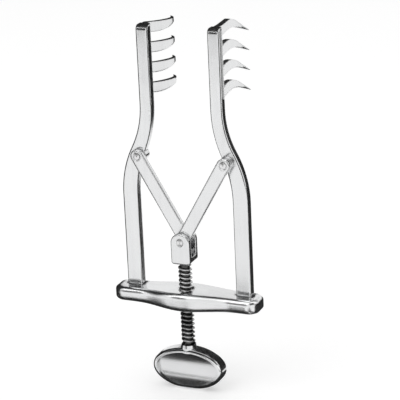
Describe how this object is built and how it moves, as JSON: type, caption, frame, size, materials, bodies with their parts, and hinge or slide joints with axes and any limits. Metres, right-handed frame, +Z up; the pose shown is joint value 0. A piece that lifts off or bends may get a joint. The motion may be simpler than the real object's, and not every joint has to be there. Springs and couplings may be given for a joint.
{
  "type": "self-retaining retractor",
  "caption": "Surgical self-retaining retractor: clawed arms hinged in a crossbar, spread by a thumb screw, clevis and V links.",
  "frame": {"origin": "on the axis of the thumb screw, level with the two hinge pins in the crossbar", "axes": "+Z up along the screw and the arms towards the claws, +Y back towards the claw tips, +X to the right arm"},
  "size_m": [0.0434, 0.0293, 0.1034],
  "materials": {
    "bar_steel": "satin stainless steel, softly polished",
    "arm_steel": "satin stainless steel, brushed along the arms",
    "screw_steel": "turned stainless steel, darker in the thread",
    "thumb_steel": "satin stainless steel, polished rim",
    "fork_steel": "satin stainless steel",
    "link_steel": "satin stainless steel, brushed along the links",
    "pin_steel": "polished stainless steel"
  },
  "bodies": {
    "crossbar": {"crossbar": "bar_steel", "left_hinge_pin": "pin_steel", "right_hinge_pin": "pin_steel"},
    "left_arm": {"left_arm": "arm_steel"},
    "right_arm": {"right_arm": "arm_steel"},
    "clevis": {"clevis": "fork_steel", "clevis_pin": "pin_steel"},
    "spindle": {"spindle": "screw_steel", "thumb_piece": "thumb_steel", "swivel_collar": "pin_steel"},
    "left_link": {"left_link": "link_steel", "left_link_rivet": "pin_steel", "left_rivet_washer": "pin_steel"},
    "right_link": {"right_link": "link_steel", "right_link_rivet": "pin_steel", "right_rivet_washer": "pin_steel", "right_link_spacer": "pin_steel"}
  },
  "joints": [
    {"name": "screw_travel", "type": "slide", "parent": "crossbar", "child": "clevis", "axis": [0, 0, 1], "range_m": [-0.00275, 0.0055]},
    {"name": "thumb_turn", "type": "hinge", "parent": "clevis", "child": "spindle", "pos_m": [0, 0, 0], "axis": [0, 0, 1], "range_deg": [-793, 1585]},
    {"name": "left_arm_swing", "type": "hinge", "parent": "crossbar", "child": "left_arm", "pos_m": [-0.0164, 0.003, 0], "axis": [0, -1, 0], "range_deg": [-5.4, 10.75]},
    {"name": "right_arm_swing", "type": "hinge", "parent": "crossbar", "child": "right_arm", "pos_m": [0.0164, 0.003, 0], "axis": [0, 1, 0], "range_deg": [-5.4, 10.75]},
    {"name": "left_link_swing", "type": "hinge", "parent": "clevis", "child": "left_link", "pos_m": [0, 0.0008, 0.0168], "axis": [0, -1, 0], "range_deg": [-9.8, 19.6]},
    {"name": "right_link_swing", "type": "hinge", "parent": "clevis", "child": "right_link", "pos_m": [0, -0.0008, 0.0168], "axis": [0, 1, 0], "range_deg": [-9.8, 19.6]}
  ],
  "couplings": [
    {"joint": "thumb_turn", "follows": "screw_travel", "rad_per_m": 5026.5},
    {"joint": "left_arm_swing", "follows": "screw_travel", "rad_per_m": 33.859},
    {"joint": "right_arm_swing", "follows": "screw_travel", "rad_per_m": 33.859},
    {"joint": "left_link_swing", "follows": "screw_travel", "rad_per_m": 61.872},
    {"joint": "right_link_swing", "follows": "screw_travel", "rad_per_m": 61.872}
  ]
}
